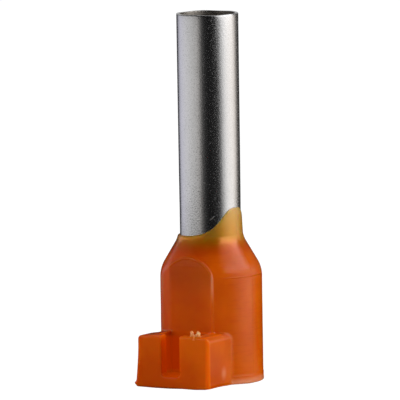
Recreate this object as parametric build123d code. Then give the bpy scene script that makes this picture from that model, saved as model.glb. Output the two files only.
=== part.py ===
from build123d import *
from math import atan2, cos, degrees, pi, radians, sin, sqrt, tan
import os

# An insulated cord-end ferrule that stands on its cable entry. Millimetres.
# The origin is on the tube's axis at the base face. +Z runs up the tube to its tip,
# the marker holder faces -Y, and +X is on the right of someone who looks at its front.

# Crimp sleeve: a thin tube whose lower end opens into a bell mouth for the strands.
sleeve_radius = 1.65  # outside of the tube
sleeve_wall = 0.20
exposed_length = 12.1  # bare metal above the collar's neck
mouth_height = 5.30  # level of the mouth's rim, inside the collar
mouth_skirt = 0.25  # straight rim below the bell
mouth_flare_angle = 27.0  # degrees, between the bell's side and the axis
mouth_bend = 0.35  # inside radius of the two bends in the bell

# Insulating collar: round body, conical shoulder and thin neck.
collar_radius = 2.78
collar_height = 7.90
collar_bore_radius = 2.10  # takes the conductor's insulation, and seats the mouth
entry_chamfer = 0.15  # at the bore's lower edge
neck_wall = 0.07  # plastic round the tube at the very top of the cone
shoulder_angle = 30.5  # degrees, between the cone's side and the axis
shoulder_blend = 1.70  # radius between the cone and the round body

# Tongue: a thin lip that climbs one side of the tube.
tongue_rise = 1.62  # above the collar's neck
tongue_wall = 0.13  # at its root
tongue_tip_wall = 0.05
tongue_reach = 1.95  # from its middle to where it would run out, across the tube
tongue_bearing = 83.0  # degrees from -Y towards +X
tongue_root = 0.30  # how far its foot goes down into the cone
tongue_fade = 0.45  # fall for each unit of length where its two ends run out

# Flat on the front of the collar, the back of the marker channel.
flat_distance = 2.33  # from the axis

# Marker holder: a block on the front of the collar's foot.
holder_width = 4.46
holder_front = 4.175  # from the axis to its front face
holder_height = 2.80
holder_side_round = 0.35  # top edges of the two sides
holder_top_round = 0.12  # top edge of the front
holder_corner_round = 0.20  # upright edges of the front
holder_root_blend = 0.30  # between its sides and the round body

# Marker channel: a slot between two lips, with a wider pocket behind them.
slot_width = 1.13
slot_offset = -0.19  # the slot's middle lies this far along X
slot_corner_round = 0.20  # lower corners of the slot
lip_thickness = 0.58
channel_floor = 0.58  # level of the floor of slot and pocket
pocket_width = 2.50
pocket_corner_round = 0.15

# Splayed foot: the holder's left side spreads outwards where the mould has parted.
splay_height = 0.80
splay_reach = 0.15
rim_reach = 0.05  # thin parting rim round the collar's foot
rim_height = 0.12

# Torn gate: two short prongs on the top edge of the right lip.
gate_middle = 1.45  # along X
gate_width = 0.76
gate_depth = 0.26
gate_base_height = 0.12
gate_prong_pitch = 0.38
gate_prong_width = 0.26
gate_prong_height = 0.42
gate_tip_share = 0.45  # width of a prong's tip as a share of its foot
gate_setback = 0.06  # from the front face

CLEAR = 1.0  # how far a cutter runs past what it cuts

total_length = collar_height + exposed_length
bare_from = collar_height + tongue_rise  # the tube is bare all round above this level
neck_radius = sleeve_radius + neck_wall


def half_section(*lines):
    """Face on the XZ plane between lines given as (radius, height)."""
    return Plane.XZ * make_face(Curve() + list(lines))


def wall_line(inset, top):
    """Line of the sleeve's wall from the level top to its mouth, set in from its outside by inset."""
    lean = radians(mouth_flare_angle)
    drop = inset * tan(lean / 2)
    bell_low = mouth_height + mouth_skirt
    bell_high = bell_low + (collar_bore_radius - sleeve_radius) / tan(lean)
    return FilletPolyline(
        (sleeve_radius - inset, top),
        (sleeve_radius - inset, bell_high - drop),
        (collar_bore_radius - inset, bell_low - drop),
        (collar_bore_radius - inset, mouth_height),
        radius=[mouth_bend + inset, mouth_bend + sleeve_wall - inset],
    )


def crimp_sleeve():
    """Tube and bell mouth as one turned wall, its outside bare above and gripped below."""
    gripped = wall_line(0, bare_from)
    inside = wall_line(sleeve_wall, total_length)
    bare = Line(gripped @ 0, (sleeve_radius, total_length))
    tip = Line(bare @ 1, inside @ 0)
    rim = Line(gripped @ 1, inside @ 1)
    return revolve(half_section(gripped, bare, tip, inside, rim), Axis.Z)


def collar_space():
    """What the collar is moulded round: the sleeve's outside, then the cable's bore."""
    gripped = wall_line(0, bare_from)
    around = Polyline(
        gripped @ 1,
        (collar_bore_radius, entry_chamfer),
        (collar_bore_radius + entry_chamfer + CLEAR, -CLEAR),
        (0, -CLEAR),
        (0, bare_from),
        gripped @ 0,
    )
    return revolve(half_section(gripped, around), Axis.Z)


def collar_body():
    """Round body, blended shoulder and cone, with the flat on its front."""
    cone_drop = (collar_radius - neck_radius) / tan(radians(shoulder_angle))
    shoulder = (collar_radius, collar_height - cone_drop)
    outline = make_face(
        Polyline(
            (0, 0),
            (collar_radius, 0),
            shoulder,
            (neck_radius, collar_height),
            (0, collar_height),
            close=True,
        )
    )
    corner = outline.vertices().sort_by_distance(Vector(*shoulder))[0]
    body = revolve(Plane.XZ * fillet(corner, shoulder_blend), Axis.Z)
    front = Box(
        4 * collar_radius,
        2 * collar_radius,
        2 * collar_height,
        align=(Align.CENTER, Align.MAX, Align.MIN),
    )
    return body - Pos(0, -flat_distance, 0) * front


def holder_plan():
    """The block from above: square front, and sides that sweep hollow onto the round body."""
    side = holder_width / 2
    across = side + holder_root_blend
    reach = collar_radius + holder_root_blend
    back = -sqrt(reach**2 - across**2)
    turn = degrees(atan2(back, across))
    sweep = CenterArc((across, back), holder_root_blend, 180, turn)
    other = mirror(sweep, Plane.YZ)
    front = Polyline(sweep @ 0, (side, -holder_front), (-side, -holder_front), other @ 0)
    inner = Polyline(sweep @ 1, (0, 0), other @ 1)
    plan = make_face(Curve() + [sweep, front, other, inner])
    return fillet(plan.vertices().group_by(Axis.Y)[0], holder_corner_round)


def holder_block():
    """Block on the collar's foot, whose upright, side and front edges each have their own rounding."""
    tall = extrude(holder_plan(), holder_height)
    rounded = RectangleRounded(holder_width, 2 * holder_height, holder_side_round)
    below = Rectangle(2 * holder_width, 2 * (holder_height - holder_side_round))
    across = extrude(Plane.XZ * (rounded + below), 2 * holder_front, both=True)
    side = Plane.YZ * RectangleRounded(2 * holder_front, 2 * holder_height, holder_top_round)
    along = extrude(side, holder_width, both=True)
    return tall & across & along


def marker_channel():
    """Cutter for the slot between the lips and the pocket behind them."""
    tall = 2 * (holder_height - channel_floor)
    slot_face = Pos(slot_offset, channel_floor + tall / 2) * RectangleRounded(
        slot_width, tall, slot_corner_round
    )
    slot = extrude(Plane.XZ * slot_face, holder_front + CLEAR)
    slot -= extrude(Plane.XZ * slot_face, flat_distance)
    pocket_front = holder_front - lip_thickness
    pocket_plan = Pos(0, -(flat_distance + pocket_front) / 2) * RectangleRounded(
        pocket_width, pocket_front - flat_distance, pocket_corner_round
    )
    pocket = extrude(Plane.XY.offset(channel_floor) * pocket_plan, tall)
    return slot + pocket


def tongue():
    """Thin skin round the tube, cut to a bell-shaped outline on one side."""
    low = collar_height - tongue_root
    high = collar_height + tongue_rise
    root_radius = sleeve_radius + tongue_wall
    skin = half_section(
        Polyline(
            (sleeve_radius, low),
            (root_radius, low),
            (root_radius, collar_height),
            (sleeve_radius + tongue_tip_wall, high),
            (sleeve_radius, high),
            close=True,
        )
    )
    bearing = radians(tongue_bearing)
    outward = Plane(
        origin=(0, 0, 0),
        x_dir=(cos(bearing), sin(bearing), 0),
        z_dir=(sin(bearing), -cos(bearing), 0),
    )
    places = [root_radius * step / 4 for step in range(-4, 5)]
    rises = [tongue_rise * cos(pi * u / (2 * tongue_reach)) ** 2 for u in places]
    top = Spline(*[(u, collar_height + rise) for u, rise in zip(places, rises)])
    foot = Polyline(top @ 1, (root_radius, low), (-root_radius, low), top @ 0)
    bell = outward * make_face(Curve() + [top, foot])
    fading = Vector(0, 0, -tongue_fade) - outward.z_dir
    prism = extrude(bell, 2 * collar_radius) + extrude(bell, 2 * collar_radius, dir=fading)
    return revolve(skin, Axis.Z) & prism


def splayed_foot():
    """Hollow-curved wedge along the bottom of the holder's left side."""
    edge = holder_width / 2
    curve = TangentArc((-edge, splay_height), (-edge - splay_reach, 0), tangent=(0, -1))
    rest = Polyline(curve @ 1, (splay_reach - edge, 0), curve @ 0)
    wedge = Plane.XZ * make_face(Curve() + [curve, rest])
    ends = holder_front - holder_corner_round
    return extrude(wedge, ends) - extrude(wedge, collar_radius / 2)


def gate():
    """Torn remains of the moulding gate: a low strip with two tapered prongs."""
    back = gate_setback + gate_depth / 2 - holder_front
    strip = Pos(gate_middle, back, holder_height - holder_top_round) * Box(
        gate_width,
        gate_depth,
        gate_base_height + holder_top_round,
        align=(Align.CENTER, Align.CENTER, Align.MIN),
    )
    for side in (-1, 1):
        foot = Pos(gate_middle + side * gate_prong_pitch / 2, back, holder_height)
        wide = Plane.XY * Rectangle(gate_prong_width, gate_depth)
        fine = Plane.XY.offset(gate_prong_height) * Rectangle(
            gate_prong_width * gate_tip_share, gate_depth * gate_tip_share
        )
        strip += foot * loft([wide, fine])
    return strip


def insulating_collar():
    """The whole moulding: collar, holder, tongue, foot and gate, less its hollows."""
    moulding = collar_body() + holder_block()
    moulding += splayed_foot() + gate()
    moulding += Cylinder(
        collar_radius + rim_reach, rim_height, align=(Align.CENTER, Align.CENTER, Align.MIN)
    )
    return moulding - marker_channel() - collar_space() + tongue()


def main():
    """Write one STEP file for each piece."""
    os.makedirs("parts", exist_ok=True)
    pieces = {"crimp_sleeve": crimp_sleeve(), "insulating_collar": insulating_collar()}
    for name, piece in pieces.items():
        export_step(piece, f"parts/{name}.step")


main()
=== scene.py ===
"""Insulated cord-end ferrule: its visible surfaces, their finishes and the studio round them.

Sizes of the object are in millimetres, as on its drawing, and meshes are in metres.
The tube stands on the Z axis, the marker holder faces -Y, and the base lies at height 0.
Angles round the axis are bearings: 0 looks along -Y and 90 along +X.
"""

from __future__ import annotations

import logging
import math
from dataclasses import dataclass
from enum import Enum
from typing import Callable, Mapping, Sequence, TypeVar, Union

import bpy
import numpy as np
from mathutils import Matrix, Vector

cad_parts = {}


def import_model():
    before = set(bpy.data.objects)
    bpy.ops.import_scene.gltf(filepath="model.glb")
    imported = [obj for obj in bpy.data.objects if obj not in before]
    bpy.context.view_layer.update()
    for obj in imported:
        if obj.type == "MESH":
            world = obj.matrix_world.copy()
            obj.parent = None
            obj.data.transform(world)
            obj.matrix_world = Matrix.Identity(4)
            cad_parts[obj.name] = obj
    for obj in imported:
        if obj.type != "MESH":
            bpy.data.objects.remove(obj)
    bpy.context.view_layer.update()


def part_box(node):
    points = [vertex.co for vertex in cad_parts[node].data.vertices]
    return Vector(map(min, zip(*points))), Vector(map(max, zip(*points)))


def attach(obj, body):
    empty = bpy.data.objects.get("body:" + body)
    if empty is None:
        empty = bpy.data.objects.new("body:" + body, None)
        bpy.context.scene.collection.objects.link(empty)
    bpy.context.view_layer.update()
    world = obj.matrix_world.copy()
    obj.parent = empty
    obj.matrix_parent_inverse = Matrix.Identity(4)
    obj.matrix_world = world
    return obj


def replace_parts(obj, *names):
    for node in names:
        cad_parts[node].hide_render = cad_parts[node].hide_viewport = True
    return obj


LOG = logging.getLogger("ferrule")
MM = 0.001
FULL_TURN = 2 * math.pi

Field = Callable[[np.ndarray, np.ndarray, np.ndarray], np.ndarray]
Coordinate = TypeVar("Coordinate", np.ndarray, "Value")
Colour = tuple[float, float, float, float]


class Slot(Enum):
    """Material slots of the record."""

    METAL = "tinned_metal"
    PLASTIC = "orange_plastic"


class Cad(Enum):
    """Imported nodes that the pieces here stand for."""

    SLEEVE = "crimp_sleeve"
    COLLAR = "insulating_collar"


# Shapes


def smooth_step(low: float, high: float, value: np.ndarray) -> np.ndarray:
    """Rise from 0 at low to 1 at high, level at both ends: 3 t^2 - 2 t^3.

    Args:
        low: value where the rise starts.
        high: value where it ends.
        value: numbers to map.

    Returns:
        Numbers from 0 to 1.
    """
    t = np.clip((value - low) / (high - low), 0.0, 1.0)
    return t * t * (3.0 - 2.0 * t)


def cut_round(first: np.ndarray, second: np.ndarray, radius: float) -> np.ndarray:
    """Common part of two solids given by distances, its convex edge a quarter circle of radius.

    Inside both it is the larger distance, and past the edge's centre line it is the distance
    from that line less the radius.

    Args:
        first: signed distance to one solid, negative inside.
        second: signed distance to the other.
        radius: rounding of the edge that they make.

    Returns:
        Signed distance to the common part.
    """
    beyond = np.hypot(np.maximum(first + radius, 0.0), np.maximum(second + radius, 0.0))
    return np.minimum(-radius, np.maximum(first, second)) + beyond


def join_round(first: np.ndarray, second: np.ndarray, radius: float) -> np.ndarray:
    """Union of two solids given by distances, with a hollow fillet of radius where they meet."""
    return -cut_round(-first, -second, radius)


def waves(x: np.ndarray, y: np.ndarray, z: np.ndarray, length: float, seed: int) -> np.ndarray:
    """Soft irregular swell between -1 and 1: the mean of five plane sine waves in random directions.

    Args:
        x: places along X.
        y: places along Y.
        z: places along Z.
        length: rough distance between two crests.
        seed: picks the directions and phases.

    Returns:
        The swell at each place.
    """
    draw = np.random.default_rng(seed)
    count = 5
    ways = draw.normal(size=(count, 3))
    ways *= FULL_TURN / length / np.linalg.norm(ways, axis=1, keepdims=True)
    phases = draw.uniform(0.0, FULL_TURN, count)
    total = np.zeros(np.broadcast(x, y, z).shape)
    for way, phase in zip(ways, phases):
        total = total + np.sin(way[0] * x + way[1] * y + way[2] * z + phase)
    return total / count


@dataclass(frozen=True)
class Lines:
    """Grid lines across a range, coarse in general and close together near chosen edges."""

    low: float
    high: float
    coarse: float
    fine: float
    edges: tuple[float, ...] = ()
    reach: float = 0.12

    def places(self) -> np.ndarray:
        """Places of the lines.

        The lines per millimetre are 1 / coarse, and rise on a bell curve to 1 / fine at each
        edge. A line stands wherever the running sum of that density passes a whole number.

        Returns:
            Rising places from low to high.
        """
        t = np.linspace(self.low, self.high, 6001)
        edges = np.array(self.edges).reshape(-1, 1)
        bell = np.exp(-(((t - edges) / self.reach) ** 2)).max(axis=0, initial=0.0)
        density = 1.0 / self.coarse + (1.0 / self.fine - 1.0 / self.coarse) * bell
        steps = (density[1:] + density[:-1]) / 2 * np.diff(t)
        total = np.concatenate([[0.0], np.cumsum(steps)])
        return np.interp(np.linspace(0.0, total[-1], round(total[-1]) + 1), total, t)


def new_mesh(name: str, points: np.ndarray, faces: Sequence[Sequence[int]]) -> bpy.types.Mesh:
    """Mesh of points that are given in millimetres.

    Args:
        name: the mesh's name.
        points: places, n by 3.
        faces: the corners of each face.

    Returns:
        The mesh, in metres.
    """
    mesh = bpy.data.meshes.new(name)
    mesh.from_pydata((points * MM).tolist(), [], faces)
    return mesh


def placed(name: str, data: bpy.types.ID) -> bpy.types.Object:
    """New object at the scene's origin.

    Args:
        name: the object's name.
        data: its mesh, lamp or camera.

    Returns:
        The object.
    """
    made = bpy.data.objects.new(name, data)
    bpy.context.scene.collection.objects.link(made)
    return made


def away_at(bearing: float, rise: float) -> Vector:
    """Unit vector that leaves the object at a bearing and a rise above the horizon, in radians."""
    level = math.cos(rise)
    return Vector((math.sin(bearing) * level, -math.cos(bearing) * level, math.sin(rise)))


@dataclass(frozen=True)
class Surface:
    """A mesh as arrays: points in millimetres, and faces of three or four corners."""

    points: np.ndarray
    faces: list[np.ndarray]

    def __add__(self, other: "Surface") -> "Surface":
        """Both surfaces in one mesh."""
        shifted = [face + len(self.points) for face in other.faces]
        return Surface(np.concatenate([self.points, other.points]), self.faces + shifted)

    def piece(self, name: str, material: bpy.types.Material, slot: Slot) -> bpy.types.Object:
        """Put the surface in the scene as a smooth-shaded object at the origin.

        Args:
            name: the object's name.
            material: its finish.
            slot: the record's slot for that finish; not used.

        Returns:
            The new object, which rides on the part's one body.
        """
        corners = [row for face in self.faces for row in face.tolist()]
        mesh = new_mesh(name, self.points, corners)
        mesh.shade_smooth()
        mesh.materials.append(material)
        made = placed(name, mesh)
        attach(made, "root")
        LOG.info("%s: %d points, %d faces", name, len(mesh.vertices), len(mesh.polygons))
        return made


def wrapped(points: np.ndarray) -> Surface:
    """Closed ring of closed sections: a grid that runs round in both of its parameters.

    Args:
        points: grid of places, sections by steps by 3, outward when the sections turn
            anticlockwise and the steps run up the outside.

    Returns:
        The surface, with a quad between each four neighbours.
    """
    rows, columns = points.shape[:2]
    index = np.arange(rows * columns).reshape(rows, columns)
    right, up = np.roll(index, -1, axis=0), np.roll(index, -1, axis=1)
    both = np.roll(right, -1, axis=1)
    quads = np.stack([index, right, both, up], axis=-1).reshape(-1, 4)
    return Surface(points.reshape(-1, 3), [quads])


def capped(points: np.ndarray) -> Surface:
    """Closed tube: sections that run round in their second parameter, with a fan over each end.

    Args:
        points: grid of places, sections by steps by 3, the sections running anticlockwise
            seen from the last one.

    Returns:
        The closed surface.
    """
    rows, columns = points.shape[:2]
    index = np.arange(rows * columns).reshape(rows, columns)
    turned = np.roll(index, -1, axis=1)
    quads = np.stack([index[:-1], turned[:-1], turned[1:], index[1:]], axis=-1).reshape(-1, 4)
    foot, head = rows * columns, rows * columns + 1
    ends = np.stack([points[0].mean(axis=0), points[-1].mean(axis=0)])
    low = np.stack([turned[0], index[0], np.full(columns, foot)], axis=-1)
    high = np.stack([index[-1], turned[-1], np.full(columns, head)], axis=-1)
    places = np.concatenate([points.reshape(-1, 3), ends])
    return Surface(places, [quads, low, high])


def slope_of(field: Field, at: np.ndarray, step: float = 0.004) -> np.ndarray:
    """Slope of a field by central differences over two steps.

    Args:
        field: signed distance as a function of place.
        at: places, n by 3.
        step: half the span of a difference.

    Returns:
        Slopes, n by 3.
    """
    moves = np.eye(3) * step
    sides = [field(*(at + move).T) - field(*(at - move).T) for move in moves]
    return np.stack(sides, axis=-1) / (2 * step)


def skin_of(field: Field, grid: Sequence[Lines], rounds: int = 4) -> Surface:
    """Closed skin of the solid where a signed distance is negative.

    The distance is taken at every crossing of the grid's lines. Each cell with both signs at
    its corners gets one point, the mean of the places where its edges cross zero, which then
    slides along the slope onto the zero level. Each edge with two signs gets a quad between
    the points of its four cells. A grid of two parameters can't follow this moulding, whose
    channel undercuts its lips, so the surface is found from three.

    Args:
        field: signed distance as a function of place, negative inside.
        grid: lines along X, Y and Z, which leave a margin round the solid.
        rounds: number of slides onto the zero level.

    Returns:
        The closed surface.
    """
    axes = [lines.places() for lines in grid]
    places = np.meshgrid(*axes, indexing="ij")
    values = field(*places)
    inside = values < 0
    shape = tuple(len(axis) - 1 for axis in axes)
    total, count = np.zeros(shape + (3,)), np.zeros(shape)
    crossings = []
    for along in range(3):
        start = tuple(slice(None, -1) if k == along else slice(1, -1) for k in range(3))
        end = tuple(slice(1, None) if k == along else slice(1, -1) for k in range(3))
        mixed = inside[start] != inside[end]
        where = np.argwhere(mixed)
        first, last = values[start][mixed], values[end][mixed]
        share = first / (first - last)
        corner = where + [0 if k == along else 1 for k in range(3)]
        spot = np.stack([axes[k][corner[:, k]] for k in range(3)], axis=-1)
        length = np.diff(axes[along])[corner[:, along]]
        spot[:, along] += share * length
        one, two = [k for k in range(3) if k != along]
        ring = []
        for a, b in ((0, 0), (1, 0), (1, 1), (0, 1)):
            cell = corner.copy()
            cell[:, one] -= a
            cell[:, two] -= b
            np.add.at(total, tuple(cell.T), spot)
            np.add.at(count, tuple(cell.T), 1)
            ring.append(cell)
        turned = inside[start][mixed] == (along != 1)
        crossings.append((np.stack(ring, axis=1), turned))
    used = count > 0
    number = np.cumsum(used.ravel()).reshape(shape) - 1
    points = total[used] / count[used][:, None]
    sides = np.stack(np.meshgrid(*[np.diff(axis) for axis in axes], indexing="ij"), axis=-1)
    room = sides[used] * 0.6
    for _ in range(rounds):
        slope = slope_of(field, points)
        steep = np.maximum((slope**2).sum(axis=-1), 0.05)
        move = -(field(*points.T) / steep)[:, None] * slope
        points = points + np.clip(move, -room, room)
    quads = []
    for ring, turned in crossings:
        corners = number[ring[..., 0], ring[..., 1], ring[..., 2]]
        quads.append(np.where(turned[:, None], corners[:, ::-1], corners))
    return Surface(points, [np.concatenate(quads)])


# Pieces


@dataclass
class CrimpSleeve:
    """Thin tinned tube whose lower end opens into a bell mouth inside the collar."""

    top: float
    tip_radius: float = 1.696
    neck_radius: float = 1.667
    neck_level: float = 9.5
    wall: float = 0.20
    mouth_radius: float = 2.10
    mouth_level: float = 5.30
    skirt: float = 0.25
    flare: float = math.radians(27.0)
    edge_round: float = 0.045
    turns: int = 288
    dent: float = 0.006
    burr: float = 0.05

    def wall_radius(self, z: np.ndarray) -> np.ndarray:
        """Outside radius of the straight tube, which widens a little towards its tip."""
        share = np.clip((z - self.neck_level) / (self.top - self.neck_level), 0.0, 1.0)
        return self.neck_radius + (self.tip_radius - self.neck_radius) * share**0.6

    def section(self) -> np.ndarray:
        """Closed half section of the wall as (radius, height).

        The outside runs up from the mouth's rim: a straight skirt, the bell's cone, a smooth
        bend and the tube. A half ellipse rounds the tip, and the inside runs down again at
        one wall's distance.

        Returns:
            Places round the section, n by 2.
        """
        drop = (self.mouth_radius - self.neck_radius) / math.tan(self.flare)
        bell_low = self.mouth_level + self.skirt
        bell = np.linspace(0.0, 1.0, 24)
        eased = smooth_step(-0.25, 1.25, bell)
        eased = (eased - eased[0]) / (eased[-1] - eased[0])
        bell_radius = self.mouth_radius + (self.neck_radius - self.mouth_radius) * eased
        outer = [
            np.column_stack([np.full(3, self.mouth_radius), np.linspace(self.mouth_level, bell_low, 3)]),
            np.column_stack([bell_radius, bell_low + bell * drop])[1:],
        ]
        tube = np.linspace(bell_low + drop, self.top - self.edge_round, 44)[1:]
        outer.append(np.column_stack([self.wall_radius(tube), tube]))
        turn = np.linspace(0.0, math.pi, 15)[1:-1]
        half = self.wall / 2
        middle = self.wall_radius(np.array(self.top)) - half
        power = 0.55
        across = np.sign(np.cos(turn)) * np.abs(np.cos(turn)) ** power
        rise = np.sin(turn) ** power
        tip = np.column_stack([middle + half * across, self.top + self.edge_round * (rise - 1)])
        outside = np.concatenate(outer)
        inside = outside[::-1] - [self.wall, 0.0]
        return np.concatenate([outside, tip, inside])

    def surface(self) -> Surface:
        """Section turned round the axis.

        A place is (r sin b, -r cos b, z) at bearing b, and r swells by a few thousandths of a
        millimetre, more towards the tip, as a drawn and cut tube does.

        Returns:
            The closed wall.
        """
        section = self.section()
        bearing = np.linspace(0.0, FULL_TURN, self.turns, endpoint=False)[:, None]
        radius, height = section[None, :, 0], section[None, :, 1]
        share = smooth_step(self.neck_level, self.top, height)
        swell = np.cos(2 * bearing - 0.6) + 0.5 * np.sin(3 * bearing + height * 0.3)
        radius = radius + self.dent * share * swell
        cut = smooth_step(self.top - 0.1, self.top, height)
        chip = self.burr * cut * (1.0 + 0.25 * np.sin(5 * bearing + 1.0))
        places = np.stack(
            [radius * np.sin(bearing), -radius * np.cos(bearing), height + chip], axis=-1
        )
        return wrapped(places)

    def build(self, finish: "TinnedMetal") -> bpy.types.Object:
        """Sleeve in its finish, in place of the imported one."""
        made = self.surface().piece("tinned_sleeve", finish.material(), Slot.METAL)
        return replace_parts(made, Cad.SLEEVE.value)


@dataclass
class InsulatingCollar:
    """One moulding: round collar, shoulder, neck with its tongue, flat and marker holder."""

    radius: float = 2.782
    height: float = 7.90
    neck_radius: float = 1.725
    shoulder_angle: float = math.radians(30.5)
    shoulder_blend: float = 1.70
    neck_round: float = 0.03
    seat_radius: float = 1.55
    bore_radius: float = 2.10
    bore_level: float = 5.32
    bell_level: float = 5.55
    bell_angle: float = math.radians(27.0)
    entry_chamfer: float = 0.15
    flat_distance: float = 2.333
    flat_bearing: float = math.radians(-2.0)
    flat_bend: float = 0.35
    bend_start: float = -1.0
    flat_round: float = 0.05

    holder_width: float = 4.46
    holder_front: float = 4.175
    holder_height: float = 2.80
    side_round: float = 0.35
    top_round: float = 0.12
    corner_round: float = 0.20
    root_blend: float = 0.09
    back_edge: float = 1.84
    back_round: float = 0.13
    left_fall: float = 0.035
    back_fall: float = 0.05

    slot_width: float = 1.13
    slot_offset: float = -0.19
    slot_corner: float = 0.20
    lip: float = 0.58
    floor_level: float = 0.58
    pocket_width: float = 2.50
    pocket_corner: float = 0.15
    lip_round: float = 0.07

    left_shift: float = 0.06
    splay_height: float = 2.2
    splay_reach: float = 0.18
    fin_level: float = 0.17
    fin_width: float = 0.10
    left_fin: float = 0.10
    right_fin: float = 0.02
    undercut: float = 0.07
    rim_reach: float = 0.055
    rim_level: float = 0.05

    tongue_rise: float = 1.60
    tongue_wall: float = 0.13
    tongue_tip: float = 0.05
    tongue_bearing: float = math.radians(86.0)
    tongue_half: float = math.radians(41.0)
    tongue_power: float = 3.3
    tube_radius: float = 1.65

    swell: float = 0.006

    # Steps of the skin's grid across, upright and near an edge, and the room round the solid.
    step_across: float = 0.085
    step_up: float = 0.095
    step_fine: float = 0.034
    margin: float = 0.25

    # How far the moulding's foot sags below its level, in millimetres by bearing in degrees.
    sag_height: float = 0.9
    sag: tuple[tuple[float, float], ...] = (
        (-180.0, 0.050),
        (-27.0, 0.080),
        (-16.0, 0.100),
        (-3.0, 0.095),
        (7.0, 0.068),
        (18.0, 0.075),
        (25.0, 0.045),
        (28.0, 0.010),
        (36.0, 0.000),
        (45.0, 0.030),
        (77.0, 0.062),
        (110.0, 0.045),
        (180.0, 0.050),
    )

    def shoulder_centre(self) -> tuple[float, float]:
        """Radius and height of the shoulder blend's centre, one blend inside cylinder and cone.

        Returns:
            The centre as (radius, height).
        """
        cos, sin = math.cos(self.shoulder_angle), math.sin(self.shoulder_angle)
        radius = self.radius - self.shoulder_blend
        drop = (self.shoulder_blend + (radius - self.neck_radius) * cos) / sin
        return radius, self.height - drop

    def ahead(self, x: Coordinate, y: Coordinate) -> Coordinate:
        """Distance in front of the flat's plane, along its normal at its bearing."""
        turn = self.flat_bearing
        return x * math.sin(turn) - y * math.cos(turn) - self.flat_distance

    def body(self, rho: np.ndarray, z: np.ndarray) -> np.ndarray:
        """Signed distance to the turned body.

        Outside the shoulder's blend it is the larger of the distances to the cylinder and the
        cone. Within the blend's sector it is the distance from the blend's centre less its
        radius.

        Args:
            rho: distances from the axis.
            z: heights.

        Returns:
            Signed distances.
        """
        cos, sin = math.cos(self.shoulder_angle), math.sin(self.shoulder_angle)
        side = rho - self.radius
        cone = (rho - self.neck_radius) * cos + (z - self.height) * sin
        centre_r, centre_z = self.shoulder_centre()
        from_r, from_z = rho - centre_r, z - centre_z
        in_sector = (from_z > 0) & (from_z * cos - from_r * sin < 0)
        blend = np.hypot(from_r, from_z) - self.shoulder_blend
        turned = np.where(in_sector, blend, np.maximum(side, cone))
        return cut_round(turned, z - self.height, self.neck_round)

    def fin(self, z: np.ndarray, level: float) -> np.ndarray:
        """Share of a parting fin's reach by height: exp(-t^2), t counted in widths from its level."""
        return np.exp(-(((z - level) / self.fin_width) ** 2))

    def foot(self, x: np.ndarray, y: np.ndarray, z: np.ndarray) -> np.ndarray:
        """Signed distance to the thin uneven fin round the collar's foot, where the mould parted.

        At bearing b the fin reaches rim_reach (1 - 0.5 sin(3b + 0.8) - 0.3 sin 7b) past the
        collar at its own level, and less above it.

        Args:
            x: places along X.
            y: places along Y.
            z: heights.

        Returns:
            Signed distances.
        """
        bearing = np.arctan2(x, -y)
        reach = self.rim_reach * (1.0 - 0.5 * np.sin(3 * bearing + 0.8) - 0.3 * np.sin(7 * bearing))
        side = np.hypot(x, y) - self.radius - reach * self.fin(z, self.rim_level)
        return np.maximum(side * 0.7, z - 4 * self.fin_width)

    def holder(self, x: np.ndarray, y: np.ndarray, z: np.ndarray) -> np.ndarray:
        """Signed distance to the holder's block, before its channel.

        Each pair of its faces meets in its own rounding. Its top falls a little towards its left
        side, and more so at the back. Its left side spreads by reach (1 - z / height)^1.6 below
        the splay's height, and both sides end in a parting fin over an undercut.

        Args:
            x: places along X.
            y: places along Y.
            z: heights.

        Returns:
            Signed distances.
        """
        low = np.clip(1.0 - z / self.splay_height, 0.0, 1.2)
        fin = self.fin(z, self.fin_level)
        under = self.undercut * np.clip(1.0 - z / self.fin_level, 0.0, 1.0)
        left = self.left_shift + self.splay_reach * low**1.6 + self.left_fin * fin - under
        spread = np.where(x < 0, left, self.right_fin * fin)
        side = np.abs(x) - self.holder_width / 2 - spread
        front = -y - self.holder_front
        fall = self.left_fall + self.back_fall * smooth_step(-3.2, -2.2, y)
        top = z - self.holder_height + fall * smooth_step(1.1, 2.0, -x)
        shoulder = cut_round(side, top, self.side_round)
        brow = cut_round(front, top, self.top_round)
        corner = cut_round(side, front, self.corner_round)
        heel = cut_round(side, y + self.back_edge, self.back_round)
        inner = np.maximum(np.abs(x) - 0.8 * self.radius, y + self.flat_distance / 4)
        back = np.minimum(heel, inner)
        return np.maximum.reduce([shoulder, brow, corner, back])

    def channel(self, x: np.ndarray, y: np.ndarray, z: np.ndarray) -> np.ndarray:
        """Signed distance to the marker channel: the slot between the lips, joined to its pocket.

        Args:
            x: places along X.
            y: places along Y.
            z: heights.

        Returns:
            Signed distances, negative in the free space.
        """
        rise = self.floor_level - z
        slot = cut_round(np.abs(x - self.slot_offset) - self.slot_width / 2, rise, self.slot_corner)
        pocket_front = self.holder_front - self.lip
        across = np.abs(x) - self.pocket_width / 2
        pocket = cut_round(across, -y - pocket_front, self.pocket_corner)
        pocket = cut_round(pocket, rise, self.pocket_corner / 2)
        return join_round(slot, pocket, self.lip_round)

    def tongue(self, x: np.ndarray, y: np.ndarray, z: np.ndarray) -> np.ndarray:
        """Signed distance to the thin tongue on the tube.

        Its top lies rise / (1 + (b / half)^power) above the neck, where b is the angle round
        the tube from its middle line. Its wall thins from its root to its tip.

        Args:
            x: places along X.
            y: places along Y.
            z: heights.

        Returns:
            Signed distances.
        """
        turned = np.arctan2(x, -y) - self.tongue_bearing
        aside = np.abs(np.arctan2(np.sin(turned), np.cos(turned)))
        bell = 1.0 / (1.0 + (aside / self.tongue_half) ** self.tongue_power)
        top = self.height + self.tongue_rise * bell
        share = np.clip((z - self.height) / self.tongue_rise, -0.2, 1.0)
        wall = self.tongue_wall + (self.tongue_tip - self.tongue_wall) * share
        outside = np.hypot(x, y) - self.tube_radius - wall
        return cut_round(outside, (z - top) * 0.6, 0.04)

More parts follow.
